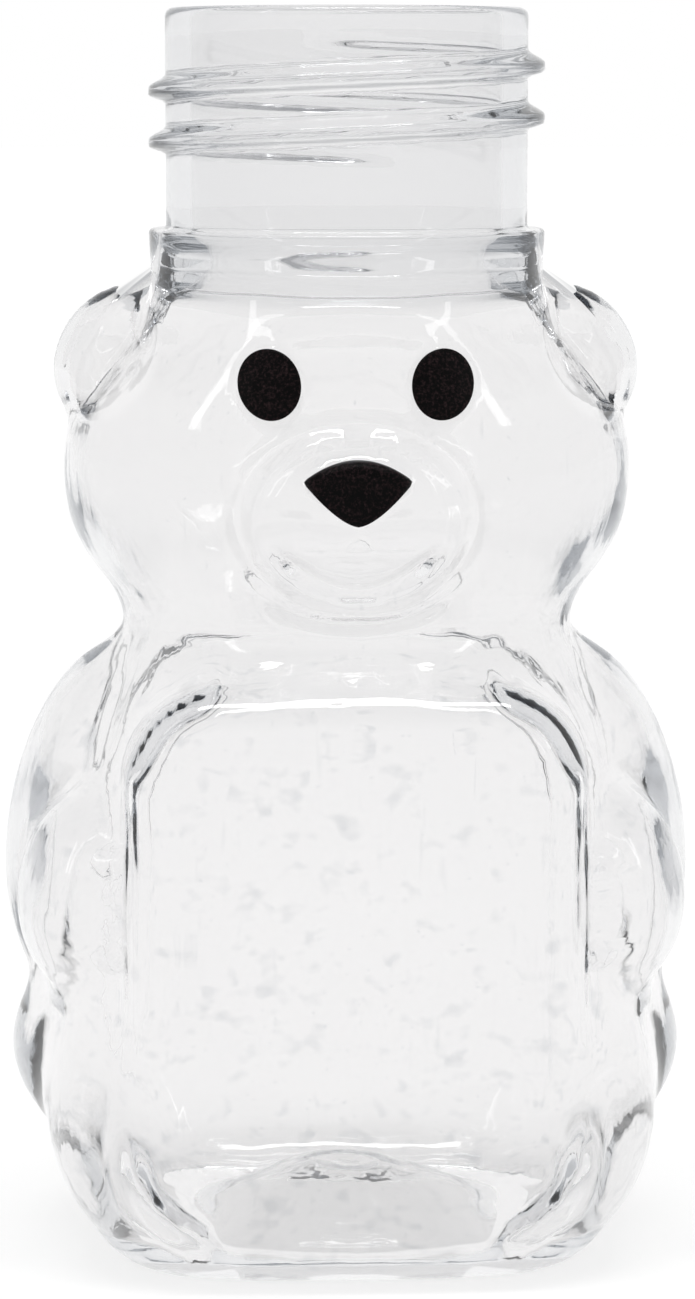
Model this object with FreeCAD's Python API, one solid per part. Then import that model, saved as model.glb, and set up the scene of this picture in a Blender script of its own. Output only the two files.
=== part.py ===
import FreeCAD, Part
import math
import os

# A small clear bottle blown in the shape of a sitting bear, with an open screw neck
# on the head. Millimetres, +Z up. The bottle stands on z = 0, its neck axis is the
# Z axis, and the bear looks along -Y.

# Whole bottle
figure_height = 57.2        # floor to the root of the neck
body_width = 36.8           # bare body, without the arms
body_depth = 30.4
base_width = 26.0           # outline of the flat ring that it stands on
base_depth = 25.2
wall = 0.7                  # blown wall of the figure

# Crease between the body and the head
waist_height = 37.3
waist_width = 26.6
waist_depth = 24.0

# Head
head_width = 33.5
head_depth = 28.0
crown_diameter = 23.2       # where the head meets the neck collar

# Neck, a 24 mm screw finish without its thread
collar_diameter = 23.7
collar_height = 3.0
neck_diameter = 21.6
neck_bore_diameter = 18.4
neck_height = 13.4          # collar to rim
shoulder_flare_height = 1.9  # cone inside, from the bore out to the blown wall

# Push-up in the base
push_up_diameter = 18.6
push_up_rise = 3.8
push_up_rings = 3
push_up_sides = 16

# Flat raised panel, one in front and one behind
panel_width = 24.2
panel_height = 29.5
panel_middle = 19.05
panel_corner_radius = 4.6
panel_proud = 0.8           # beyond the body's greatest depth
panel_bevel = 0.7
panel_flare = 1.1           # how much wider its sides get behind the bevel
panel_flare_depth = 2.6
panel_depth = 8.5           # how far its sides run back into the body

# Eyes and nose: raised pads with a coat of black ink on top
ink_thickness = 0.1
eye_width = 3.6
eye_height = 4.06
eye_spacing = 9.9
eye_drop = 5.3              # below the root of the neck
eye_tilt = 10.0             # degrees, tops leaning outwards
eye_proud = 0.35
nose_width = 6.1
nose_height = 3.7
nose_above_muzzle = 2.94    # top of the nose over the muzzle's middle
nose_corner_drop = 1.2      # from the top of the nose to its widest level
nose_cheek_width = 3.8      # between the sides, at the level of the next value
nose_cheek_drop = 2.7
nose_proud = 0.2            # in front of the muzzle

# Rounded forms that stand out from the body: whole sizes, and leans inwards in degrees
arm_width = 10.6
arm_depth = 13.0
arm_height = 21.4
arm_lean = 11.0
paw_width = 9.0
paw_depth = 11.2
paw_height = 12.8
paw_lean = 8.0
thigh_width = 12.4
thigh_depth = 16.0
thigh_height = 10.8
foot_width = 10.8
foot_depth = 14.0
foot_height = 12.6

# Rounded forms that stand out from the head
ear_width = 7.8
ear_depth = 6.4
ear_height = 10.6
ear_lean = 33.0
muzzle_width = 16.0
muzzle_depth = 9.0
muzzle_height = 9.6
chin_width = 10.4
chin_depth = 6.8
chin_height = 5.2

# Cross-sections of the figure from the floor up:
# (share of the height, share of the half width, share of the half depth, squareness).
# Squareness 2 is an ellipse, and higher is nearer to a rectangle.
heel_section = (0.040, 0.810, 0.908, 2.45)
body_sections = (
    (0.107, 0.924, 0.980, 2.5),
    (0.214, 0.989, 1.000, 2.6),
    (0.430, 1.000, 1.000, 2.6),
    (0.680, 0.945, 0.970, 2.5),
    (0.850, 0.840, 0.925, 2.4),
)
head_sections = (
    (0.110, 0.866, 0.912, 2.1),
    (0.330, 1.000, 1.000, 2.1),
    (0.700, 0.900, 0.935, 2.1),
)
base_squareness = 2.4
waist_squareness = 2.1
round_squareness = 2.0
outer_sides = 36            # flats round a section, under 0.1 mm inside the true curve
inner_sides = 20

# Where the rounded forms sit: their centres as shares of the half width, the half depth
# and the height, of the body from the floor to the waist, then of the head above it
limbs = (
    ((0.825, 0.03, 0.676), (arm_width, arm_depth, arm_height), arm_lean),
    ((0.815, -0.47, 0.590), (paw_width, paw_depth, paw_height), paw_lean),
    ((0.745, 0.10, 0.306), (thigh_width, thigh_depth, thigh_height), 0.0),
    ((0.700, -0.50, 0.205), (foot_width, foot_depth, foot_height), 0.0),
)
muzzle = ((0.0, -0.80, 0.385), (muzzle_width, muzzle_depth, muzzle_height), 0.0)
head_forms = (
    ((0.812, 0.04, 0.770), (ear_width, ear_depth, ear_height), ear_lean),
    muzzle,
    ((0.0, -0.82, 0.140), (chin_width, chin_depth, chin_height), 0.0),
)
form_rings = 5
form_cap = 72               # degrees from a form's middle to the flats at its ends
form_sides = 16
hollow_sides = 12

overlap = 0.2               # how far cutting tools run past a face


def superellipse(height, half_width, half_depth, squareness, sides):
    # corners on |x/a|^n + |y/b|^n = 1, so that a flat faces each way along X and Y
    points = []
    for corner in range(sides):
        angle = 2 * math.pi * (corner + 0.5) / sides
        across = math.cos(angle)
        deep = math.sin(angle)
        x = half_width * math.copysign(abs(across) ** (2 / squareness), across)
        y = half_depth * math.copysign(abs(deep) ** (2 / squareness), deep)
        points.append(FreeCAD.Vector(x, y, height))
    return points


def closed(points):
    return Part.makePolygon(points + points[:1])


def flowing(rings):
    # solid whose sides run in one curve through all the rings
    return Part.makeLoft([closed(ring) for ring in rings], True, False)


def faceted(rings):
    # solid with flat sides between rings of as many corners, which run anticlockwise
    # as seen from beyond the last ring
    faces = [Part.Face(closed(rings[0][::-1])), Part.Face(closed(rings[-1]))]
    for low, high in zip(rings, rings[1:]):
        for corner in range(len(low)):
            faces.append(Part.Face(closed([low[corner - 1], low[corner], high[corner]])))
            faces.append(Part.Face(closed([low[corner - 1], high[corner], high[corner - 1]])))
    return Part.Solid(Part.makeShell(faces)).removeSplitter()


def trunk(inset):
    # heel, body and head: flowing outside, and faceted inside, drawn in by the inset
    body_solid = faceted if inset else flowing
    sides = inner_sides if inset else outer_sides
    rise = figure_height - waist_height
    body = []
    for share, wide, deep, squareness in (heel_section,) + body_sections:
        half_width = wide * body_width / 2
        half_depth = deep * body_depth / 2
        body.append((share * waist_height, half_width, half_depth, squareness))
    body.append((waist_height, waist_width / 2, waist_depth / 2, waist_squareness))
    heel = [(0.0, base_width / 2, base_depth / 2, base_squareness)] + body[:2]
    head = body[-1:]
    for share, wide, deep, squareness in head_sections:
        half_width = wide * head_width / 2
        half_depth = deep * head_depth / 2
        head.append((waist_height + share * rise, half_width, half_depth, squareness))
    crown = crown_diameter / 2
    head.append((figure_height, crown, crown, round_squareness))
    solids = []
    for stations, make in ((heel, faceted), (body[1:], body_solid), (head, body_solid)):
        rings = []
        for height, half_width, half_depth, squareness in stations:
            wide = half_width - inset
            deep = half_depth - inset
            rings.append(superellipse(max(height, inset), wide, deep, squareness, sides))
        solids.append(make(rings))
    return solids


def rounded_form(centre, size, lean, inset):
    # ellipsoid through polygons, leaning towards the Z axis about its own centre
    wide, deep, tall = [length / 2 - inset for length in size]
    sides = hollow_sides if inset else form_sides
    rings = []
    for step in range(form_rings):
        latitude = math.radians(form_cap * (2 * step / (form_rings - 1) - 1))
        share = math.cos(latitude)
        height = tall * math.sin(latitude)
        rings.append(superellipse(height, wide * share, deep * share, round_squareness, sides))
    form = faceted(rings) if inset else flowing(rings)
    form.rotate(FreeCAD.Vector(0, 0, 0), FreeCAD.Vector(0, 1, 0), -lean)
    form.translate(centre)
    return form


def on_body(share, side):
    across, deep, up = share
    return FreeCAD.Vector(side * across * body_width / 2, deep * body_depth / 2, up * waist_height)


def on_head(share, side):
    across, deep, up = share
    rise = figure_height - waist_height
    height = waist_height + up * rise
    return FreeCAD.Vector(side * across * head_width / 2, deep * head_depth / 2, height)


def rounded_forms(inset):
    # one solid for a form on the middle plane, and a pair for any other
    solids = []
    for forms, place in ((limbs, on_body), (head_forms, on_head)):
        for share, size, lean in forms:
            for side in (1, -1) if share[0] else (1,):
                solids.append(rounded_form(place(share, side), size, side * lean, inset))
    return solids


def panel_corners(side, grow, deep):
    # round corners of a rectangle, grown all round, at a distance along Y: three points
    # on each, and one corner after another as they are met round the side's own face
    half = panel_width / 2 + grow
    low = panel_middle - panel_height / 2 - grow
    high = panel_middle + panel_height / 2 + grow
    radius = panel_corner_radius + grow
    corners = []
    for x, z, start in ((half, high, 0), (-half, high, 90), (-half, low, 180), (half, low, 270)):
        centre = (x - math.copysign(radius, x), z - radius if z == high else z + radius)
        points = []
        for step in (0, 45, 90):
            angle = math.radians(start + step)
            across = centre[0] + radius * math.cos(angle)
            up = centre[1] + radius * math.sin(angle)
            points.append(FreeCAD.Vector(-side * across, deep, up))
        corners.append(points)
    return corners


def rounded_outline(corners):
    edges = []
    for corner in range(4):
        edges.append(Part.Arc(*corners[corner - 1]).toShape())
        edges.append(Part.makeLine(corners[corner - 1][2], corners[corner][0]))
    return Part.Wire(edges)


def panel(side, inset):
    # slab with a bevelled rim and flared sides, which runs well inside the body
    face = body_depth / 2 + panel_proud - inset
    levels = []
    for back, grow in (
        (panel_depth, panel_flare),
        (panel_flare_depth, panel_flare),
        (panel_bevel, 0.0),
        (0.0, -panel_bevel),
    ):
        levels.append(panel_corners(side, grow - inset, side * (face - back)))
    if inset:
        return faceted([sum(corners, []) for corners in levels])
    return Part.makeLoft([rounded_outline(corners) for corners in levels], True, True)


def turned(profile):
    # solid of revolution about Z from (radius, height) corners
    points = [FreeCAD.Vector(radius, 0, height) for radius, height in profile]
    face = Part.Face(Part.makePolygon(points + points[:1]))
    return face.revolve(FreeCAD.Vector(0, 0, 0), FreeCAD.Vector(0, 0, 1), 360)


def neck_outside():
    collar_top = figure_height + collar_height
    rim = collar_top + neck_height
    root = figure_height - 2 * wall
    neck = neck_diameter / 2
    return turned((
        (0, root),
        (crown_diameter / 2 - wall, root),
        (crown_diameter / 2 - wall, figure_height),
        (collar_diameter / 2, figure_height),
        (collar_diameter / 2, collar_top),
        (neck, collar_top),
        (neck, rim),
        (0, rim),
    ))


def neck_inside():
    rim = figure_height + collar_height + neck_height
    blown = crown_diameter / 2 - wall
    bore = neck_bore_diameter / 2
    flare_top = figure_height + shoulder_flare_height
    return turned((
        (0, figure_height - 2 * wall),
        (blown, figure_height - 2 * wall),
        (blown, figure_height - wall),
        (bore, flare_top),
        (bore, rim + overlap),
        (0, rim + overlap),
    ))


def push_up(grow):
    # dome that hollows the base: height = rise * (1 - share^2) at a share of its radius,
    # grown all over for the inner skin
    half = push_up_diameter / 2
    stations = [(-overlap, half + grow)]
    for step in range(push_up_rings):
        share = 1 - step / push_up_rings
        height = push_up_rise * (1 - share ** 2) + grow
        stations.append((height, share * (half + grow)))
    rings = []
    for height, radius in stations:
        rings.append(superellipse(height, radius, radius, round_squareness, push_up_sides))
    return faceted(rings)


def face_point(head, across, up):
    # where a line along Y leaves the front of the head
    start = FreeCAD.Vector(across, 0, up)
    end = FreeCAD.Vector(across, -head_depth, up)
    inside = head.common(Part.makeLine(start, end))
    return FreeCAD.Vector(across, inside.BoundBox.YMin, up)


def eye_pad(head, side, start, height):
    # short elliptical post that stands square on the forehead, from one level to the next
    across = side * eye_spacing / 2
    level = figure_height - eye_drop
    wide = eye_width / 2
    tall = eye_height / 2
    along = face_point(head, across + wide, level) - face_point(head, across - wide, level)
    upward = face_point(head, across, level + tall) - face_point(head, across, level - tall)
    outward = along.cross(upward)
    outline = Part.Ellipse(FreeCAD.Vector(0, 0, 0), tall, wide).toShape()
    post = Part.Face(Part.Wire(outline)).extrude(FreeCAD.Vector(0, 0, height))
    post.translate(FreeCAD.Vector(0, 0, start))
    post.rotate(FreeCAD.Vector(0, 0, 0), FreeCAD.Vector(0, 0, 1), 90 - side * eye_tilt)
    turn = FreeCAD.Rotation(upward.cross(outward), upward, outward, "ZYX")
    post.Placement = FreeCAD.Placement(face_point(head, across, level), turn) * post.Placement
    return post


def muzzle_middle():
    return on_head(muzzle[0], 1)


def eye_ink(head, side):
    # coat on the eye's pad, where the muzzle leaves the pad free
    coat = eye_pad(head, side, eye_proud, ink_thickness)
    return coat.cut(rounded_form(muzzle_middle(), muzzle[1], 0.0, 0))


def nose_face():
    # how far the nose's pad reaches in front of the neck axis
    return muzzle_depth / 2 - muzzle_middle().y + nose_proud


def nose_pad(start, end):
    # rounded triangle between two distances in front of the neck axis
    top = muzzle_middle().z + nose_above_muzzle
    widest = top - nose_corner_drop
    cheek = top - nose_cheek_drop
    half = nose_width / 2
    tip = FreeCAD.Vector(0, -start, top - nose_height)
    left = FreeCAD.Vector(-half, -start, widest)
    right = FreeCAD.Vector(half, -start, widest)
    left_cheek = FreeCAD.Vector(-nose_cheek_width / 2, -start, cheek)
    right_cheek = FreeCAD.Vector(nose_cheek_width / 2, -start, cheek)
    edges = [Part.Arc(right, FreeCAD.Vector(0, -start, top), left).toShape()]
    edges.append(Part.Arc(left, left_cheek, tip).toShape())
    edges.append(Part.Arc(tip, right_cheek, right).toShape())
    return Part.Face(Part.Wire(edges)).extrude(FreeCAD.Vector(0, start - end, 0))


def outer_skin():
    forms = trunk(0)
    head = forms[-1]
    forms += rounded_forms(0)
    forms += [panel(-1, 0), panel(1, 0), neck_outside()]
    forms.append(nose_pad(-muzzle_middle().y, nose_face()))
    for side in (1, -1):
        forms.append(eye_pad(head, side, -eye_width / 2, eye_width / 2 + eye_proud))
    return forms[0].fuse(forms[1:]).cut(push_up(0))


def cavity():
    forms = trunk(wall)
    forms += rounded_forms(wall)
    forms += [panel(-1, wall), panel(1, wall), neck_inside()]
    return forms[0].fuse(forms[1:]).cut(push_up(wall))


def build_parts():
    head = trunk(0)[-1]
    pieces = {"bottle": outer_skin().cut(cavity())}
    pieces["eye_left"] = eye_ink(head, 1)
    pieces["eye_right"] = eye_ink(head, -1)
    pieces["nose"] = nose_pad(nose_face(), nose_face() + ink_thickness)
    return pieces


os.makedirs("parts", exist_ok=True)
for name, shape in build_parts().items():
    print(name, shape.isValid(), len(shape.Solids), round(shape.Volume, 2), shape.BoundBox)
    shape.exportStep("parts/" + name + ".step")
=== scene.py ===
import math

import bpy
import numpy as np
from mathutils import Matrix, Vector


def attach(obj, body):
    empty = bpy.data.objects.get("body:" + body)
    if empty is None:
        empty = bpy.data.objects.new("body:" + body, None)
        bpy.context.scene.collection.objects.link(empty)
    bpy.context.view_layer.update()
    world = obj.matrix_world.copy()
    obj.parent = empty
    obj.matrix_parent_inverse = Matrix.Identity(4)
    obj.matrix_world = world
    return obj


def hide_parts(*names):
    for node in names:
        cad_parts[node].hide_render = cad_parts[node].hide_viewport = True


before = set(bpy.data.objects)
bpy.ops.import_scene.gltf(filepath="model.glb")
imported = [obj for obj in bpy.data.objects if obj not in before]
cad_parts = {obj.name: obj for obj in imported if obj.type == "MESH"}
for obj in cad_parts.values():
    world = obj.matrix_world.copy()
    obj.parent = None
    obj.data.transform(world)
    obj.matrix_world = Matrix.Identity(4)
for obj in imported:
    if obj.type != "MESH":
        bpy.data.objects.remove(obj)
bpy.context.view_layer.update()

# Lengths of the bear are in mm, and become metres in its meshes. The bear stands on z = 0 and
# looks along -Y. Its outside is the same left and right, but for the screw thread.
mm = 0.001


def ease(t):
    # three t squared less two t cubed, with t held between 0 and 1
    t = np.clip(t, 0.0, 1.0)
    return t * t * (3.0 - 2.0 * t)


def fade(value, start, end):
    # 0 at the start and 1 at the end, eased between them
    return ease((value - start) / (end - start))


def hill(value, middle, width):
    # bell curve: e to the power of minus the square of (value - middle) / width
    return np.exp(-(((value - middle) / width) ** 2))


def smoothUnion(a, b, k):
    # the smaller of a and b, less k h squared / 4, where h falls from 1 to 0 as they part by k
    h = np.maximum(k - np.abs(a - b), 0.0) / k
    return np.minimum(a, b) - h * h * k * 0.25


def smoothMeet(a, b, k):
    # the larger of a and b, rounded in the same way
    return -smoothUnion(-a, -b, k)


def roundCorner(across, up, r):
    # distance to a corner of radius r, from the offsets beyond the corner's centre
    return np.hypot(np.maximum(across, 0), np.maximum(up, 0)) + np.minimum(np.maximum(across, up), 0) - r


def leaned(across, up, degrees):
    # the two coordinates in axes turned by the angle
    c, s = math.cos(math.radians(degrees)), math.sin(math.radians(degrees))
    return across * c + up * s, up * c - across * s


def around(theta, r, z):
    # points at radius r and height z on each column's angle
    return np.stack(np.broadcast_arrays(r * np.cos(theta), r * np.sin(theta), z), axis=-1)


figure = {
    # height, half width, half depth, squareness of the cross-section (2 is an ellipse)
    "trunk": (
        (-2.0, 11.6, 10.5, 3.6), (0.0, 13.8, 12.6, 3.6), (0.9, 14.8, 13.4, 3.4), (2.3, 15.5, 14.2, 3.1),
        (4.7, 16.5, 14.9, 2.8), (8.0, 17.8, 15.2, 2.65), (14.2, 18.4, 15.2, 2.6), (20.3, 18.3, 15.0, 2.6),
        (26.4, 17.3, 14.7, 2.5), (31.4, 15.7, 14.2, 2.4), (35.1, 14.1, 13.2, 2.3), (37.8, 13.4, 12.1, 2.1),
        (39.6, 14.1, 12.7, 2.1), (41.2, 15.3, 13.4, 2.1), (43.1, 16.3, 13.8, 2.1), (45.5, 16.8, 14.0, 2.1),
        (48.5, 16.7, 13.8, 2.1), (50.8, 15.9, 13.4, 2.1), (52.7, 14.7, 12.9, 2.05), (54.6, 13.3, 12.3, 2.0),
        (57.0, 11.8, 11.7, 2.0), (58.8, 11.6, 11.6, 2.0), (62.5, 11.6, 11.6, 2.0),
    ),
    # centre (x, y, z), half sizes (x, y, z), lean towards the axis in degrees, softness of the join
    "upperArm": ((15.1, 0.4, 25.6), (5.2, 6.5, 10.6), 11.0, 1.7),
    "paw": ((15.1, -7.1, 22.4), (4.5, 5.6, 6.2), 8.0, 1.4),
    "thigh": ((13.9, 1.5, 11.4), (6.4, 8.0, 5.6), 0.0, 2.2),
    "foot": ((12.5, -7.6, 9.0), (5.3, 7.0, 7.3), 0.0, 2.0),
    "ear": ((13.3, 0.5, 53.0), (3.9, 3.2, 4.6), 33.0, 0.9),
    "muzzle": ((0.0, -11.2, 45.1), (7.7, 4.5, 4.9), 0.0, 0.9),
    "chin": ((0.0, -11.5, 40.8), (5.4, 3.3, 2.6), 0.0, 0.8),
    "fingerHeights": (19.4, 21.2, 23.0, 24.8),
    "finger": ((13.5, -11.7), (1.6, 1.2, 0.95), 0.5),   # centre (x, y), half sizes, softness of the join
    "noseJoin": 0.3,
    "innerSoftness": 1.5,   # how much softer the joins are on the inside of the wall
    "innerDish": 0.5,       # share of the ears' dish that the inside follows
}
trunkKnots = np.array(figure["trunk"]).T


def alongKnots(z, heights, values):
    # cubic Hermite curve through (height, value) knots, with slopes from the neighbours
    slope = np.gradient(values, heights)
    i = np.clip(np.searchsorted(heights, z) - 1, 0, len(heights) - 2)
    span = heights[i + 1] - heights[i]
    t = np.clip((z - heights[i]) / span, 0.0, 1.0)
    start = (2 * t**3 - 3 * t**2 + 1) * values[i] + (t**3 - 2 * t**2 + t) * span * slope[i]
    return start + (3 * t**2 - 2 * t**3) * values[i + 1] + (t**3 - t**2) * span * slope[i + 1]


def trunkField(x, y, z):
    # distance from the height's superellipse, measured towards the axis: the radius less the radius
    # divided by the n-th root of |x / a| to the n plus |y / b| to the n
    a, b, n = (alongKnots(z, trunkKnots[0], values) for values in trunkKnots[1:])
    share = (np.abs(x / a) ** n + np.abs(y / b) ** n) ** (1.0 / n)
    smallest = 1e-3
    r = np.hypot(x, y)
    return r - r / np.maximum(share, smallest)


def roundedField(x, y, z, form):
    # near distance to an ellipsoid that leans about its centre: first (first - 1) / second, the
    # lengths of the offset divided once and twice by the half sizes
    centre, half, lean = form[:3]
    u, v = leaned(x - centre[0], z - centre[2], lean)
    p = (u / half[0], (y - centre[1]) / half[1], v / half[2])
    smallest = 1e-6
    first = np.sqrt(p[0] ** 2 + p[1] ** 2 + p[2] ** 2) + smallest
    second = np.sqrt((p[0] / half[0]) ** 2 + (p[1] / half[1]) ** 2 + (p[2] / half[2]) ** 2) + smallest
    return first * (first - 1.0) / second


panel = {
    "halfWidth": 12.1, "low": 4.0, "high": 34.1, "cornerRadius": 4.5,
    "face": 15.78, "draft": 24.0, "draftDepth": 2.6, "reach": 8.5, "fillet": 1.9, "join": 1.7,
    "backFace": 15.7, "backFillet": 2.6, "backJoin": 1.9,   # the panel behind is softer
}


def beyondCorner(x, z):
    # offsets beyond the centres of the panel's rounded corners, across and up
    middle = (panel["low"] + panel["high"]) / 2
    halfHigh = (panel["high"] - panel["low"]) / 2
    r = panel["cornerRadius"]
    return np.abs(x) - panel["halfWidth"] + r, np.abs(z - middle) - halfHigh + r


def panelField(x, y, z):
    # rounded rectangle in front view, pulled to a flat face with drafted sides and a fillet
    outline = roundCorner(*beyondCorner(x, z), panel["cornerRadius"])
    depth = np.where(y < 0, panel["face"], panel["backFace"]) - np.abs(y)
    angle = math.radians(panel["draft"])
    side = (outline - np.clip(depth, 0, panel["draftDepth"]) * math.tan(angle)) * math.cos(angle)
    fillet = np.where(y < 0, panel["fillet"], panel["backFillet"])
    return np.maximum(roundCorner(side + fillet, fillet - depth, fillet), depth - panel["reach"])


ink = {
    "eyeAcross": 4.92, "eyeHeight": 52.3, "eyeHalfWidth": 1.78, "eyeHalfHeight": 2.0, "eyeTilt": 10.0,
    "noseHalf": 3.12, "noseTop": 48.2, "noseCorner": 47.0, "noseTip": 44.5, "noseMiddle": 46.6,
    "noseSideCurve": 1.5, "noseSideSlope": 1.45, "noseCornerRound": 0.25,
    "noseFront": 15.86, "noseRoot": 11.0, "noseCrest": 47.2, "noseRound": 0.35, "noseMargin": 0.12,
    "noseBow": 0.35, "noseUpperSlope": 0.42, "noseLowerSlope": 0.12,
    "thickness": 0.1, "gap": 0.012, "backGap": 0.0072,
    "columns": 96, "rings": (0.02, 0.92, 20), "rimRings": (0.96, 0.985, 1.0), "rimStart": 0.93,
    "mostForward": 15.995,      # the ink stays within this distance in front of the axis
}


def noseOutline(x, z):
    # positive outside the nose in front view: arched top, sides that meet in a point below
    share = np.abs(x) / ink["noseHalf"]
    top = z - (ink["noseTop"] - (ink["noseTop"] - ink["noseCorner"]) * share**2)
    rise = ink["noseCorner"] - ink["noseTip"]
    low = (ink["noseTip"] + rise * share ** ink["noseSideCurve"] - z) / ink["noseSideSlope"]
    return smoothMeet(top, low, ink["noseCornerRound"])


def noseField(x, y, z):
    # the outline pulled forward to two slopes that meet in a level crest
    back = ink["noseBow"] * (x / ink["noseHalf"]) ** 2
    back = back + ink["noseUpperSlope"] * np.maximum(z - ink["noseCrest"], 0)
    back = back + ink["noseLowerSlope"] * np.maximum(ink["noseCrest"] - z, 0)
    outline = noseOutline(x, z) + ink["noseMargin"]
    front = smoothMeet(outline, -y - ink["noseFront"] + back, ink["noseRound"])
    return np.maximum(front, y + ink["noseRoot"])


def eyeShare(x, z):
    # squared distance from the eye's middle as a share of its half sizes, tops leaning outwards
    u, v = leaned(np.abs(x) - ink["eyeAcross"], z - ink["eyeHeight"], -ink["eyeTilt"])
    return (u / ink["eyeHalfWidth"]) ** 2 + (v / ink["eyeHalfHeight"]) ** 2


# ends and front say where a form starts and where it is full
face = {
    "smile": {"low": 40.8, "rise": 1.6, "halfWidth": 3.9, "depth": 0.5, "width": 0.42, "ends": (4.7, 3.7)},
    "lipLine": {"depth": 0.22, "width": 0.42, "lowEnd": (43.0, 43.9), "highEnd": (45.2, 44.4)},
    # of a ring: depth, share of its half sizes, width; a ridge has a depth below zero
    "lip": {"height": 39.9, "half": (1.75, 0.5), "groove": (0.12, 1.0, 0.3)},
    "muzzle": {
        "height": 44.7, "half": (7.0, 5.6), "groove": (0.26, 0.985, 0.07), "ridge": (-0.22, 0.84, 0.065),
    },
    "brow": {"height": 55.3, "droop": 0.03, "rise": 0.22, "width": 0.8, "ends": (6.5, 3.5)},
    "eyeBump": 0.35, "eyeBumpReach": 1.25,
    "front": (5.0, 8.0),
}


def ringRelief(x, z, ring, part):
    # bell curve over the distance from the ring's middle as a share of its half sizes
    depth, share, width = ring[part]
    distance = np.hypot(x / ring["half"][0], (z - ring["height"]) / ring["half"][1])
    return depth * hill(distance, share, width)


def faceRelief(x, y, z):
    # how far the skin sinks (+) or rises (-) in front: smile, lip line, rings of the muzzle, eyes
    smile, line, muzzle, brow = (face[name] for name in ("smile", "lipLine", "muzzle", "brow"))
    across = np.abs(x)
    curve = smile["low"] + smile["rise"] * (across / smile["halfWidth"]) ** 2
    relief = smile["depth"] * hill(z, curve, smile["width"]) * fade(across, *smile["ends"])
    upright = hill(x, 0.0, line["width"]) * fade(z, *line["highEnd"]) * fade(z, *line["lowEnd"])
    relief = relief + line["depth"] * upright + ringRelief(x, z, face["lip"], "groove")
    relief = relief + ringRelief(x, z, muzzle, "groove") + ringRelief(x, z, muzzle, "ridge")
    relief = relief - face["eyeBump"] * np.sqrt(np.clip(face["eyeBumpReach"] - eyeShare(x, z), 0, 1))
    crest = brow["height"] - brow["droop"] * x * x
    relief = relief - brow["rise"] * hill(z, crest, brow["width"]) * fade(across, *brow["ends"])
    return relief * fade(-y, *face["front"])


earDish = {"centre": (13.9, 53.1), "half": (2.1, 3.5), "depth": 0.75, "reach": 1.35, "front": (-0.2, 1.0)}


def earRelief(x, y, z):
    # shallow dish in the front of each ear, leaning as the ear does
    u, v = leaned(np.abs(x) - earDish["centre"][0], z - earDish["centre"][1], figure["ear"][2])
    share = (u / earDish["half"][0]) ** 2 + (v / earDish["half"][1]) ** 2
    return earDish["depth"] * ease(earDish["reach"] - share) * fade(-y, *earDish["front"])


base = {
    "domeRadius": 9.4, "domeRise": 3.8, "domeRound": 0.5, "seatWidth": 0.4,
    "gateRadius": 1.3, "gateReach": 1.6, "gateDrop": 0.35, "edge": 0.5,
}


def undersideHeight(x, y):
    # a dome rounded into the ground, less the rounding's own height at the dome's edge, with a small
    # gate mark hanging in its middle
    r = np.hypot(x, y)
    dome = smoothMeet(base["domeRise"] * (1 - (r / base["domeRadius"]) ** 2), 0.0, base["domeRound"])
    dome = dome - base["domeRound"] / 4 * hill(r, base["domeRadius"], base["seatWidth"])
    return dome - base["gateDrop"] * ease(base["gateReach"] - r / base["gateRadius"])


def bodyField(p, fine):
    # distance-like field of the figure, below zero inside; fine adds the small relief
    x, y, z = p[..., 0], p[..., 1], p[..., 2]
    ax = np.abs(x)
    soft = 1.0 if fine else figure["innerSoftness"]
    f = trunkField(x, y, z)
    for name in ("upperArm", "paw", "thigh", "foot", "ear"):
        f = smoothUnion(f, roundedField(ax, y, z, figure[name]), figure[name][3] * soft)
    for name in ("muzzle", "chin"):
        f = smoothUnion(f, roundedField(x, y, z, figure[name]), figure[name][3] * soft)
    join = np.where(y < 0, panel["join"], panel["backJoin"]) * (soft + 1) / 2
    f = smoothUnion(f, panelField(x, y, z), join)
    if fine:
        place, half, join = figure["finger"]
        for height in figure["fingerHeights"]:
            form = ((place[0], place[1], height), half, 0.0)
            f = smoothUnion(f, roundedField(ax, y, z, form), join)
        f = f + faceRelief(x, y, z)
        f = smoothUnion(f, noseField(x, y, z), figure["noseJoin"])
        f = f + earRelief(x, y, z)
    else:
        f = f + figure["innerDish"] * earRelief(x, y, z)
    return smoothMeet(f, undersideHeight(x, y) - z, base["edge"])


wall = {
    "thickness": 0.5,
    "waves": (0.06, 5.0, 3), "ripples": (0.03, 1.7, 4),     # depth, length and seed of the unevenness
    "waveCount": 14, "waveSpread": (0.6, 1.6),
    # thicker plastic: how much, height, spread in height, and where it starts and is full across
    "cheeks": (0.5, 41.5, 2.6, (10.0, 14.0)),
    "arms": (0.4, 25.0, 4.0, (16.8, 18.8)),
    "ears": (0.5, 56.0, 1.8, (11.0, 12.5)),
    "mouth": (0.5, 41.3, 1.8, (6.0, 4.0)), "mouthFront": (8.0, 10.0),
    # and around the corners of the front panel: how much, distance outside the corner and its width
    "highCorners": 1.6, "lowCorners": 0.8, "cornerRing": (0.8, 0.8), "cornerTurn": 2.4,
    "cornerFront": (10.5, 12.5),
}


def waviness(p, scale, seed):
    # gentle unevenness of blown plastic: the mean of sine waves with fixed directions
    rng = np.random.default_rng(seed)
    total = np.zeros(p.shape[:-1])
    for wave in range(wall["waveCount"]):
        direction = rng.normal(size=3)
        direction = direction / np.linalg.norm(direction) * rng.uniform(*wall["waveSpread"])
        total = total + np.sin(p @ (direction * 2 * math.pi / scale) + rng.uniform(0, 2 * math.pi))
    return total / wall["waveCount"]


def thickSpot(ax, z, spot):
    # extra wall in a band of heights, faded in across
    extra, height, width, reach = spot
    return extra * hill(z, height, width) * fade(ax, *reach)


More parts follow.
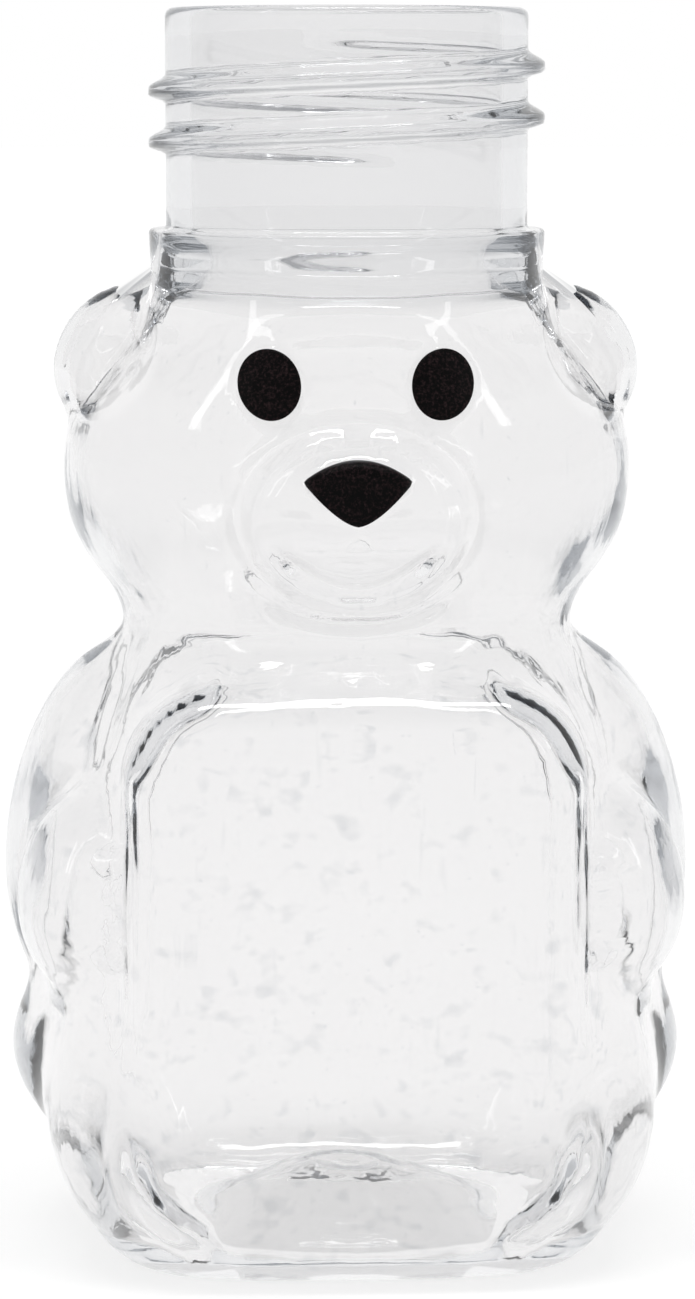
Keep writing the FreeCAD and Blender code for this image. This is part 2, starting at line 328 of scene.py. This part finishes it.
def wallAt(p):
    # thickness of the blown wall: thin and uneven, thicker at the named places
    x, y, z = p[..., 0], p[..., 1], p[..., 2]
    ax = np.abs(x)
    thickness = wall["thickness"]
    for depth, length, seed in (wall["waves"], wall["ripples"]):
        thickness = thickness + depth * waviness(p, length, seed)
    r = panel["cornerRadius"]
    across, up = beyondCorner(x, z)
    corner = hill(roundCorner(across, up, r), *wall["cornerRing"])
    corner = corner * ease(wall["cornerTurn"] * across / r) * ease(wall["cornerTurn"] * up / r)
    isHigh = z > (panel["low"] + panel["high"]) / 2
    corner = corner * np.where(isHigh, wall["highCorners"], wall["lowCorners"])
    thickness = thickness + corner * fade(-y, *wall["cornerFront"])
    for name in ("cheeks", "arms", "ears"):
        thickness = thickness + thickSpot(ax, z, wall[name])
    return thickness + thickSpot(ax, z, wall["mouth"]) * fade(-y, *wall["mouthFront"])


def outside(p):
    return bodyField(p, True)


def plainOutside(p):
    return bodyField(p, False)


def inside(p):
    # the plainer field, drawn in by the wall
    return plainOutside(p) + wallAt(p)


def gradientOf(field, p):
    step = 0.02
    g = np.empty_like(p)
    for axis in range(3):
        shift = np.zeros(3)
        shift[axis] = step
        g[..., axis] = (field(p + shift) - field(p - shift)) / (2 * step)
    return g


def normalOf(field, p):
    g = gradientOf(field, p)
    return g / np.linalg.norm(g, axis=-1, keepdims=True)


# how settle evens a grid out: share of the way moved, shortest step and sharpest bend that count,
# and pulls back to the surface in the last round, each no longer than farthest
evening = {"share": 0.5, "shortest": 0.05, "sharpest": 2.0, "lastPulls": 3, "farthest": 0.6, "flattest": 0.05}


def settle(p, field, rounds, tighten):
    # evens the grid out along the surface, all but its end rows: each point moves half-way to the
    # mean of its four neighbours, where a neighbour weighs 1 + tighten * (turn of the normal /
    # length of the step), so that the grid is finer where the skin bends, and is drawn back by
    # the field times its gradient divided by the gradient's squared length
    ends = [0, -1]
    for turn in range(rounds):
        normal = normalOf(field, p)
        total, weights = np.zeros_like(p), np.zeros(p.shape[:2] + (1,))
        for shift, axis in ((1, 1), (-1, 1), (1, 0), (-1, 0)):
            other, otherNormal = np.roll(p, shift, axis=axis), np.roll(normal, shift, axis=axis)
            bend = np.linalg.norm(otherNormal - normal, axis=-1, keepdims=True)
            bend = bend / (np.linalg.norm(other - p, axis=-1, keepdims=True) + evening["shortest"])
            weight = 1 + tighten * np.minimum(bend, evening["sharpest"])
            total, weights = total + weight * other, weights + weight
        moved = p + evening["share"] * (total / weights - p)
        moved[ends] = p[ends]
        for pull in range(1 if turn < rounds - 1 else evening["lastPulls"]):
            g = gradientOf(field, moved)
            size = np.maximum((g**2).sum(axis=-1), evening["flattest"])
            push = (field(moved) / size)[..., None] * g
            push[ends] = 0.0
            moved = moved - np.clip(push, -evening["farthest"], evening["farthest"])
        p = moved
    return p


# rays that find the skin: where the fan over the base starts and how far it dips in degrees, how
# soon the rays above it are level, and how they walk in from outside
rays = {
    "height": 8.0, "steepest": 88.5, "shallowest": 24.0, "nextDip": 22.0, "levelAfter": 7.0,
    "reach": 32.0, "steps": 90, "stride": 0.7, "stepBack": 0.5, "longestStep": 4.0,
    "inkStart": -6.0, "inkReach": 13.0, "inkSteps": 60,
}


def castOutward(field, start, direction, reach, steps):
    # outermost point on each ray where the field is zero, found by walking in from the reach by a
    # share of the field's value at a time
    t = np.full(direction.shape[:-1], reach)
    for walk in range(steps):
        value = field(start + t[..., None] * direction)
        t = t - rays["stride"] * np.clip(value, -rays["stepBack"], rays["longestStep"])
    return start + t[..., None] * direction


neck = {
    "collarStart": 58.4, "collarTop": 60.7, "collarRadius": 11.72, "radius": 10.7, "rim": 73.6,
    "boreRadius": 9.2, "boreEnd": 60.6, "lipRound": 0.5, "edgeRound": 0.25, "flareCurve": 0.4,
    "threadDepth": 1.0, "threadPitch": 3.02, "threadTop": 71.1, "threadTopAngle": 106.0, "threadTurns": 3,
    "threadEndAngle": -650.0, "threadFade": 28.0, "crest": 0.42, "upperFlank": 0.8, "lowerFlank": 0.42,
}


def threadRise(angle, z):
    # height of the screw thread over the neck: a ramp each side of a rounded crest, on a helix whose
    # height is the top plus the angle wound from the start times the pitch, faded out at both ends
    rise = np.zeros_like(z)
    half = neck["crest"] / 2
    for turn in range(neck["threadTurns"]):
        wound = angle - 360.0 * turn
        above = z - neck["threadTop"] - (wound - neck["threadTopAngle"]) * neck["threadPitch"] / 360.0
        ramp = np.minimum((above + half) / neck["lowerFlank"] + 1, (half - above) / neck["upperFlank"] + 1)
        ends = ease((neck["threadTopAngle"] - wound) / neck["threadFade"])
        ends = ends * ease((wound - neck["threadEndAngle"]) / neck["threadFade"])
        rise = np.maximum(rise, ease(ramp) * ends)
    return neck["threadDepth"] * rise


def cornerArc(centre, radius, start, end, count):
    # (r, z) points on a circle between two angles in degrees
    angle = np.radians(np.linspace(start, end, count))
    return np.stack((centre[0] + radius * np.cos(angle), centre[1] + radius * np.sin(angle)), axis=-1)


def turned(theta, profile):
    # each (r, z) of a profile carried round the axis
    return around(theta, profile[:, 0, None], profile[:, 1, None])


mesh = {
    "columns": 268, "baseRows": 20, "bodyRows": 172, "collarRows": 5, "threadRows": 74, "boreRows": 9,
    "flareRows": 7, "innerRows": 62, "edgePoints": 5, "lipPoints": 6,
    "flareStart": 9,    # rows below the collar where the inside of the wall begins
    "outerRounds": 12, "outerTighten": 3.0, "innerRounds": 6, "innerTighten": 1.0,
    # closer columns at the panels' edges and the ears, and in front at the face: degrees, width, amount
    "closerColumns": ((49.0, 6.0, 2.0), (9.0, 9.0, 0.6)), "closerFace": (90.0, 22.0, 0.5),
    # closer rows at the top of the panels, the waist, the smile and the feet: height, width, amount
    "closerRows": ((34.6, 1.6, 1.6), (38.2, 1.5, 0.8), (41.3, 1.5, 0.7), (9.5, 2.0, 0.6)),
    "spreadSteps": 4001,
}


def spread(low, high, count, density):
    # count values from low to high, as close together as the density asks
    fineStep = np.linspace(low, high, mesh["spreadSteps"])
    share = np.concatenate(([0.0], np.cumsum((density(fineStep)[1:] + density(fineStep)[:-1]) / 2)))
    return np.interp(np.linspace(0, share[-1], count), share, fineStep)


def columnDensity(degrees):
    # one plus a hill at each angle that asks for closer columns, folded into a quarter turn
    fold = np.degrees(np.arcsin(np.clip(np.abs(np.sin(np.radians(degrees))), 0, 1)))
    closer = sum(amount * hill(fold, middle, width) for middle, width, amount in mesh["closerColumns"])
    middle, width, amount = mesh["closerFace"]
    return 1 + closer + amount * (np.sin(np.radians(degrees)) < 0) * hill(fold, middle, width)


def rowDensity(z):
    # one plus a hill at each height that asks for closer rows
    return 1 + sum(amount * hill(z, middle, width) for middle, width, amount in mesh["closerRows"])


def outerRows(theta):
    # the blown figure up to the collar: rays fan down over the base and turn level up the body
    fan, low = mesh["baseRows"], rays["height"]
    body = spread(low, neck["collarStart"], mesh["bodyRows"], rowDensity)
    height = np.concatenate((np.full(fan, low), body))[:, None]
    dip = rays["nextDip"] * (1 - ease((body - low) / rays["levelAfter"]))
    dip = np.concatenate((np.linspace(rays["steepest"], rays["shallowest"], fan), dip))
    dip = -np.radians(dip)[:, None]
    start = around(theta, 0.0, height)
    direction = around(theta, np.cos(dip), np.sin(dip))
    outer = castOutward(outside, start, direction, rays["reach"], rays["steps"])
    outer = settle(outer, outside, mesh["outerRounds"], mesh["outerTighten"])
    outer[..., 2] = np.maximum(outer[..., 2], 0.0)
    print("figure skin", outer.shape, "residual mm", round(float(np.abs(outside(outer)).max()), 3))
    return outer


def neckRows(theta, top):
    # collar, threaded neck, rounded lip and bore, from the figure's top row
    topRadius = np.hypot(top[:, 0], top[:, 1])
    edge, lip = neck["edgeRound"], neck["lipRound"]
    share = np.linspace(0, 1, mesh["collarRows"] + 1)[1:, None]
    r = topRadius + (neck["collarRadius"] - topRadius) * ease(share)
    z = neck["collarStart"] + (neck["collarTop"] - edge - neck["collarStart"]) * share
    collar = around(theta, r, z)

    count = mesh["edgePoints"]
    arc = cornerArc((neck["collarRadius"] - edge, neck["collarTop"] - edge), edge, 0, 90, count)[1:]
    root = cornerArc((neck["radius"] + edge, neck["collarTop"] + edge), edge, 270, 180, count)
    shelf = turned(theta, np.concatenate((arc, root)))

    z = np.linspace(neck["collarTop"] + edge, neck["rim"] - lip, mesh["threadRows"] + 1)[1:, None]
    z = z + 0 * theta
    angle = np.degrees(theta) + 0 * z
    angle = np.where(angle > neck["threadTopAngle"], angle - 360.0, angle)
    thread = around(theta, neck["radius"] + threadRise(angle, z), z)

    count = mesh["lipPoints"]
    boreHeight = np.linspace(neck["rim"] - lip, neck["boreEnd"], mesh["boreRows"] + 1)[1:]
    rimAndBore = np.concatenate((
        cornerArc((neck["radius"] - lip, neck["rim"] - lip), lip, 0, 90, count)[1:],
        cornerArc((neck["boreRadius"] + lip, neck["rim"] - lip), lip, 90, 180, count),
        np.stack((np.full_like(boreHeight, neck["boreRadius"]), boreHeight), axis=-1),
    ))
    return np.concatenate((collar, shelf, thread, turned(theta, rimAndBore)))


def innerRows(outer):
    # inside of the wall: the outer grid drawn in and settled on the plainer field
    pick = np.linspace(len(outer) - mesh["flareStart"], 0, mesh["innerRows"]).round().astype(int)
    inner = outer[pick]
    inner = inner - normalOf(plainOutside, inner) * wall["thickness"]
    inner = settle(inner, inside, mesh["innerRounds"], mesh["innerTighten"])
    print("inside of the wall", inner.shape)
    return inner


def flareRows(theta, first):
    # from the bore out to the first row of the blown wall: partly straight and partly eased
    share = np.linspace(0, 1, mesh["flareRows"] + 2)[1:-1, None]
    reach = np.hypot(first[:, 0], first[:, 1]) - neck["boreRadius"]
    curve = neck["flareCurve"]
    r = neck["boreRadius"] + reach * ((1 - curve) * share + curve * ease(share))
    return around(theta, r, neck["boreEnd"] + (first[:, 2] - neck["boreEnd"]) * share)


def buildSkin():
    # rows from the base's middle up the outside, over the lip and down the inside
    theta = np.radians(spread(0, 360, mesh["columns"] + 1, columnDensity)[:-1])
    outer = outerRows(theta)
    inner = innerRows(outer)
    return np.concatenate((outer, neckRows(theta, outer[-1]), flareRows(theta, inner[0]), inner))


def closedMesh(name, rows):
    # quads between rows and columns, with a single point at each end
    count, columns = rows.shape[:2]
    points = np.concatenate((rows.reshape(-1, 3), rows[0].mean(axis=0)[None], rows[-1].mean(axis=0)[None]))
    i, j = np.meshgrid(np.arange(count - 1), np.arange(columns), indexing="ij")
    k = (j + 1) % columns
    here, above = i * columns, (i + 1) * columns
    quads = np.stack((here + j, here + k, above + k, above + j), axis=-1).reshape(-1, 4)
    j = np.arange(columns)
    k = (j + 1) % columns
    startPole, endPole, last = count * columns, count * columns + 1, (count - 1) * columns
    fans = np.concatenate((
        np.stack((0 * j + startPole, k, j), axis=-1),
        np.stack((0 * j + endPole, last + j, last + k), axis=-1),
    ))
    data = bpy.data.meshes.new(name)
    data.vertices.add(len(points))
    data.vertices.foreach_set("co", (points * mm).astype(np.float32).ravel())
    corners = np.concatenate((quads.ravel(), fans.ravel())).astype(np.int32)
    sizes = np.concatenate((np.full(len(quads), 4), np.full(len(fans), 3))).astype(np.int32)
    data.loops.add(len(corners))
    data.loops.foreach_set("vertex_index", corners)
    data.polygons.add(len(sizes))
    data.polygons.foreach_set("loop_start", np.concatenate(([0], np.cumsum(sizes)[:-1])).astype(np.int32))
    data.polygons.foreach_set("loop_total", sizes)
    data.polygons.foreach_set("use_smooth", np.ones(len(sizes), dtype=bool))
    data.update()
    data.validate()
    piece = bpy.data.objects.new(name, data)
    bpy.context.scene.collection.objects.link(piece)
    return piece


def inkPatch(name, outlineAt, centre):
    # a coat of ink on the skin: rings of a disc in front view, dropped on the figure, with a
    # rounded rim; outlineAt(angle) is the disc's reach from its centre
    angle = np.linspace(0, 2 * math.pi, ink["columns"], endpoint=False)
    share = np.concatenate((np.linspace(*ink["rings"]), ink["rimRings"]))
    lift = ink["thickness"] * np.sqrt(np.clip(1 - fade(share, ink["rimStart"], 1.0) ** 2, 0, 1))
    reach = share[:, None] * outlineAt(angle)
    x, z = centre[0] + reach * np.cos(angle), centre[1] + reach * np.sin(angle)
    start = np.stack((x, np.full_like(x, rays["inkStart"]), z), axis=-1)
    forward = np.zeros_like(start) + (0.0, -1.0, 0.0)
    spot = castOutward(outside, start, forward, rays["inkReach"], rays["inkSteps"])
    normal = normalOf(outside, spot)
    front = spot + normal * (ink["gap"] + lift)[:, None, None]
    front[..., 1] = np.maximum(front[..., 1], -ink["mostForward"])
    back = (spot + normal * ink["backGap"])[::-1]
    return closedMesh(name, np.concatenate((front, back))[::-1])


def eyeReach(angle):
    # reach of the leaning ellipse at each angle
    u, v = leaned(np.cos(angle), np.sin(angle), -ink["eyeTilt"])
    return 1 / np.hypot(u / ink["eyeHalfWidth"], v / ink["eyeHalfHeight"])


def mirroredEyeReach(angle):
    return eyeReach(math.pi - angle)


def noseReach(angle):
    # reach of the nose's outline at each angle, found by halving
    halvings, farthest = 30, 4.0
    low, high = np.zeros_like(angle), np.full_like(angle, farthest)
    for halving in range(halvings):
        middle = (low + high) / 2
        out = noseOutline(middle * np.cos(angle), ink["noseMiddle"] + middle * np.sin(angle)) > 0
        high = np.where(out, middle, high)
        low = np.where(out, low, middle)
    return low


def newMaterial(name):
    material = bpy.data.materials.new(name)
    material.use_nodes = True
    nodes, links = material.node_tree.nodes, material.node_tree.links
    return material, nodes, links, nodes["Principled BSDF"]


def noiseAt(nodes, links, where, scale, detail, rough=0.5):
    noise = nodes.new("ShaderNodeTexNoise")
    noise.inputs["Scale"].default_value = scale
    noise.inputs["Detail"].default_value = detail
    noise.inputs["Roughness"].default_value = rough
    links.new(where, noise.inputs["Vector"])
    return noise.outputs["Fac"]


def stretched(nodes, links, where, stretch):
    mapping = nodes.new("ShaderNodeMapping")
    mapping.inputs["Scale"].default_value = stretch
    links.new(where, mapping.inputs["Vector"])
    return mapping.outputs["Vector"]


def ranged(nodes, links, value, span, result=(0.0, 1.0)):
    # carries the span to the result, and holds what lies outside it
    node = nodes.new("ShaderNodeMapRange")
    for name, number in zip(("From Min", "From Max", "To Min", "To Max"), span + result):
        node.inputs[name].default_value = number
    links.new(value, node.inputs["Value"])
    return node.outputs["Result"]


def blended(nodes, links, value, colours, places=(0.0, 1.0)):
    # the first colour up to the first place, the second from the second place on
    ramp = nodes.new("ShaderNodeValToRGB")
    for element, colour, place in zip(ramp.color_ramp.elements, colours, places):
        element.position = place
        element.color = colour
    links.new(value, ramp.inputs["Fac"])
    return ramp.outputs["Color"]


def joined(nodes, links, first, second, operation):
    node = nodes.new("ShaderNodeMath")
    node.operation = operation
    links.new(first, node.inputs[0])
    links.new(second, node.inputs[1])
    return node.outputs[0]


def addBump(nodes, links, shader, height, strength, distance):
    bump = nodes.new("ShaderNodeBump")
    bump.inputs["Strength"].default_value = strength
    bump.inputs["Distance"].default_value = distance
    links.new(height, bump.inputs["Height"])
    links.new(bump.outputs["Normal"], shader.inputs["Normal"])


plastic = {
    "tint": (0.932, 0.928, 0.928, 1), "ior": 1.5, "haze": 235.0, "hazeColour": (0.812, 0.822, 0.834, 1),
    # duller where the skin was rubbed: scale and detail of the noise, and the noise from which it dulls
    "roughness": 0.01, "rubbedRoughness": 0.04, "rubbed": (150.0, 3.0), "rubbedSpan": (0.45, 0.75),
    # unevenness: strength and height in metres; scales and detail of two noises, one drawn out upwards
    "waves": 0.022, "waveHeight": 0.0005, "runs": (700.0, 2.0), "runStretch": (1.0, 1.0, 0.25),
    "peel": (420.0, 2.0),
    # marks: stretch, scale of the noise, and the noise from which a mark starts and is full
    "markColour": (0.80, 0.805, 0.815, 1), "markDetail": 1.0,
    "dabs": ((1.0, 1.0, 1.3), 620.0, (0.63, 0.77)),
    "streaks": ((1.0, 1.0, 0.12), 1500.0, (0.72, 0.86)),
    "specks": ((1.0, 1.0, 1.0), 2600.0, (0.74, 0.80)),
    # heights in metres where the unevenness and the dabs end, and how softly
    "smoothFrom": 0.0575, "dabsBelow": 0.036, "softness": 0.003,
}


def markMask(nodes, links, where, mark):
    # noise in a stretched space, cut to thin spots
    stretch, scale, span = mark
    place = stretched(nodes, links, where, stretch)
    return ranged(nodes, links, noiseAt(nodes, links, place, scale, plastic["markDetail"]), span)


def belowHeight(nodes, links, where, height):
    # 1 below the height, 0 above it
    parts = nodes.new("ShaderNodeSeparateXYZ")
    links.new(where, parts.inputs[0])
    span = (height - plastic["softness"], height)
    return ranged(nodes, links, parts.outputs["Z"], span, (1.0, 0.0))


def clearPlastic():
    material, nodes, links, shader = newMaterial("clearBlownPlastic")
    shader.inputs["IOR"].default_value = plastic["ior"]
    shader.inputs["Transmission Weight"].default_value = 1.0
    place = nodes.new("ShaderNodeTexCoord").outputs["Object"]

    blown = belowHeight(nodes, links, place, plastic["smoothFrom"])
    belly = belowHeight(nodes, links, place, plastic["dabsBelow"])

    # faint marks in the tint: dabs up to the top of the belly, streaks and specks up to the neck
    dabs = joined(nodes, links, markMask(nodes, links, place, plastic["dabs"]), belly, "MULTIPLY")
    streaks = markMask(nodes, links, place, plastic["streaks"])
    specks = markMask(nodes, links, place, plastic["specks"])
    specks = joined(nodes, links, joined(nodes, links, specks, streaks, "MAXIMUM"), blown, "MULTIPLY")
    marks = joined(nodes, links, dabs, specks, "MAXIMUM")
    tint = blended(nodes, links, marks, (plastic["tint"], plastic["markColour"]))
    links.new(tint, shader.inputs["Base Color"])

    # slightly duller where the skin was rubbed
    rubbed = noiseAt(nodes, links, place, *plastic["rubbed"])
    dullness = (plastic["roughness"], plastic["rubbedRoughness"])
    links.new(ranged(nodes, links, rubbed, plastic["rubbedSpan"], dullness), shader.inputs["Roughness"])

    # unevenness of blown plastic, which ends below the moulded neck
    runs = noiseAt(nodes, links, stretched(nodes, links, place, plastic["runStretch"]), *plastic["runs"])
    peel = noiseAt(nodes, links, place, *plastic["peel"])
    waves = joined(nodes, links, joined(nodes, links, runs, peel, "ADD"), blown, "MULTIPLY")
    addBump(nodes, links, shader, waves, plastic["waves"], plastic["waveHeight"])

    # haze that greys the light's longer ways through the plastic
    absorb = nodes.new("ShaderNodeVolumeAbsorption")
    absorb.inputs["Color"].default_value = plastic["hazeColour"]
    absorb.inputs["Density"].default_value = plastic["haze"]
    links.new(absorb.outputs["Volume"], nodes["Material Output"].inputs["Volume"])
    return material


printing = {
    "colours": ((0.0005, 0.0004, 0.0005, 1), (0.036, 0.020, 0.022, 1)),     # ink, and its paler specks
    "specks": (5200.0, 3.0, 0.7), "speckSpan": (0.48, 0.76),    # scale, detail and roughness of the noise
    "shine": 0.06, "roughness": 0.38, "bump": 0.35, "bumpHeight": 0.00004,
}


def blackInk():
    material, nodes, links, shader = newMaterial("blackInk")
    place = nodes.new("ShaderNodeTexCoord").outputs["Object"]
    speck = noiseAt(nodes, links, place, *printing["specks"])
    colour = blended(nodes, links, speck, printing["colours"], printing["speckSpan"])
    links.new(colour, shader.inputs["Base Color"])
    shader.inputs["Specular IOR Level"].default_value = printing["shine"]
    shader.inputs["Roughness"].default_value = printing["roughness"]
    addBump(nodes, links, shader, speck, printing["bump"], printing["bumpHeight"])
    return material


# lengths of the studio are in metres
studio = {
    "floorRadius": 4.0, "floorSides": 64, "floorColour": (0.33, 0.33, 0.33, 1), "floorRoughness": 0.9,
    # the floor's own glow near the bear and farther out, and the distances between which it changes
    "floorLift": (0.75, 0.84), "floorLiftSpan": (0.15, 1.2),
    # light on the surfaces, and the background that is seen: white, and greyer upwards over the span
    "evenLight": 0.62, "white": (1, 1, 1, 1), "overhead": (0.30, 0.31, 0.33, 1), "overheadSpan": (0.45, 0.95),
    "lampAim": (0.0, 0.0, 0.035), "bounces": 72,
}
lamps = {   # place, size and power in watts
    "leftStrip": ((-0.55, -0.35, 0.45), (0.05, 0.4), 0.18),
    "rightStrip": ((0.55, -0.35, 0.45), (0.05, 0.4), 0.18),
    "overhead": ((0.0, -0.12, 0.7), (0.5, 0.09), 1.7),
}


def seenRays(nodes, links):
    # 1 for rays that look at the background: straight, mirrored or through clear plastic
    path = nodes.new("ShaderNodeLightPath")
    mirrored = joined(nodes, links, path.outputs["Is Camera Ray"], path.outputs["Is Glossy Ray"], "MAXIMUM")
    return joined(nodes, links, mirrored, path.outputs["Is Transmission Ray"], "MAXIMUM")


def makeFloor():
    # a level disc that glows for the rays that see it
    angle = np.linspace(0, 2 * math.pi, studio["floorSides"], endpoint=False)
    data = bpy.data.meshes.new("floor")
    data.from_pydata(around(angle, studio["floorRadius"], 0.0).tolist(), [], [tuple(range(len(angle)))])
    floor = bpy.data.objects.new("floor", data)
    bpy.context.scene.collection.objects.link(floor)
    material, nodes, links, shader = newMaterial("paleFloor")
    shader.inputs["Base Color"].default_value = studio["floorColour"]
    shader.inputs["Roughness"].default_value = studio["floorRoughness"]
    shader.inputs["Specular IOR Level"].default_value = 0.0
    shader.inputs["Emission Color"].default_value = studio["white"]
    reach = nodes.new("ShaderNodeVectorMath")
    reach.operation = "LENGTH"
    links.new(nodes.new("ShaderNodeTexCoord").outputs["Object"], reach.inputs[0])
    lift = ranged(nodes, links, reach.outputs["Value"], studio["floorLiftSpan"], studio["floorLift"])
    strength = joined(nodes, links, seenRays(nodes, links), lift, "MULTIPLY")
    links.new(strength, shader.inputs["Emission Strength"])
    floor.data.materials.append(material)


def makeWorld():
    # even light for the surfaces; white behind clear plastic, greyer overhead
    world = bpy.data.worlds.new("studio")
    bpy.context.scene.world = world
    world.use_nodes = True
    nodes, links = world.node_tree.nodes, world.node_tree.links
    split = nodes.new("ShaderNodeSeparateXYZ")
    links.new(nodes.new("ShaderNodeTexCoord").outputs["Generated"], split.inputs[0])
    colours = (studio["white"], studio["overhead"])
    seen = blended(nodes, links, split.outputs["Z"], colours, studio["overheadSpan"])
    mix = nodes.new("ShaderNodeMix")
    mix.data_type = "RGBA"      # a colour mix has its two colours in sockets 6 and 7
    mix.inputs[6].default_value = (studio["evenLight"],) * 3 + (1,)
    links.new(seenRays(nodes, links), mix.inputs[0])
    links.new(seen, mix.inputs[7])
    links.new(mix.outputs[2], nodes["Background"].inputs["Color"])


def softLamp(name, place, size, power):
    lamp = bpy.data.lights.new(name, "AREA")
    lamp.shape = "RECTANGLE"
    lamp.size, lamp.size_y = size
    lamp.energy = power
    thing = bpy.data.objects.new(name, lamp)
    thing.location = place
    thing.rotation_euler = (Vector(studio["lampAim"]) - Vector(place)).to_track_quat("-Z", "Y").to_euler()
    bpy.context.scene.collection.objects.link(thing)


# the camera's lengths are in mm, but for the nearest thing shown, in metres, and its angles in degrees
view = {
    "height": 69.5, "distance": 250.0, "tilt": 7.75, "azimuth": -2.5, "lens": 116.4, "sideways": 0.05,
    "nearest": 0.01,
}


def makeCamera():
    camera = bpy.data.objects.new("camera", bpy.data.cameras.new("camera"))
    turn = math.radians(view["azimuth"])
    side = Vector((math.cos(turn), math.sin(turn), 0))
    back = Vector((math.sin(turn), -math.cos(turn), 0))
    camera.location = (back * view["distance"] + side * view["sideways"]) * mm
    camera.location.z = view["height"] * mm
    camera.rotation_euler = (math.radians(90 - view["tilt"]), 0, turn)
    camera.data.lens = view["lens"]
    camera.data.clip_start = view["nearest"]
    bpy.context.scene.collection.objects.link(camera)
    bpy.context.scene.camera = camera


bpy.context.scene.view_settings.view_transform = "Standard"
makeFloor()
makeWorld()
for name, (place, size, power) in lamps.items():
    softLamp(name, place, size, power)
bpy.context.scene.cycles.max_bounces = studio["bounces"]
bpy.context.scene.cycles.transmission_bounces = studio["bounces"]
bpy.context.scene.cycles.glossy_bounces = studio["bounces"]
makeCamera()
print("studio ready")

skin = closedMesh("bottleSkin", buildSkin())
skin.data.materials.append(clearPlastic())
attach(skin, "root")
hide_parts("bottle")
print("bottle skin", len(skin.data.polygons), "faces")

inkFinish = blackInk()
for name, node, reach, centre in (
    ("leftEyeInk", "eye_left", eyeReach, (ink["eyeAcross"], ink["eyeHeight"])),
    ("rightEyeInk", "eye_right", mirroredEyeReach, (-ink["eyeAcross"], ink["eyeHeight"])),
    ("noseInk", "nose", noseReach, (0.0, ink["noseMiddle"])),
):
    patch = inkPatch(name, reach, centre)
    patch.data.materials.append(inkFinish)
    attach(patch, "root")
    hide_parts(node)
print("ink ready")
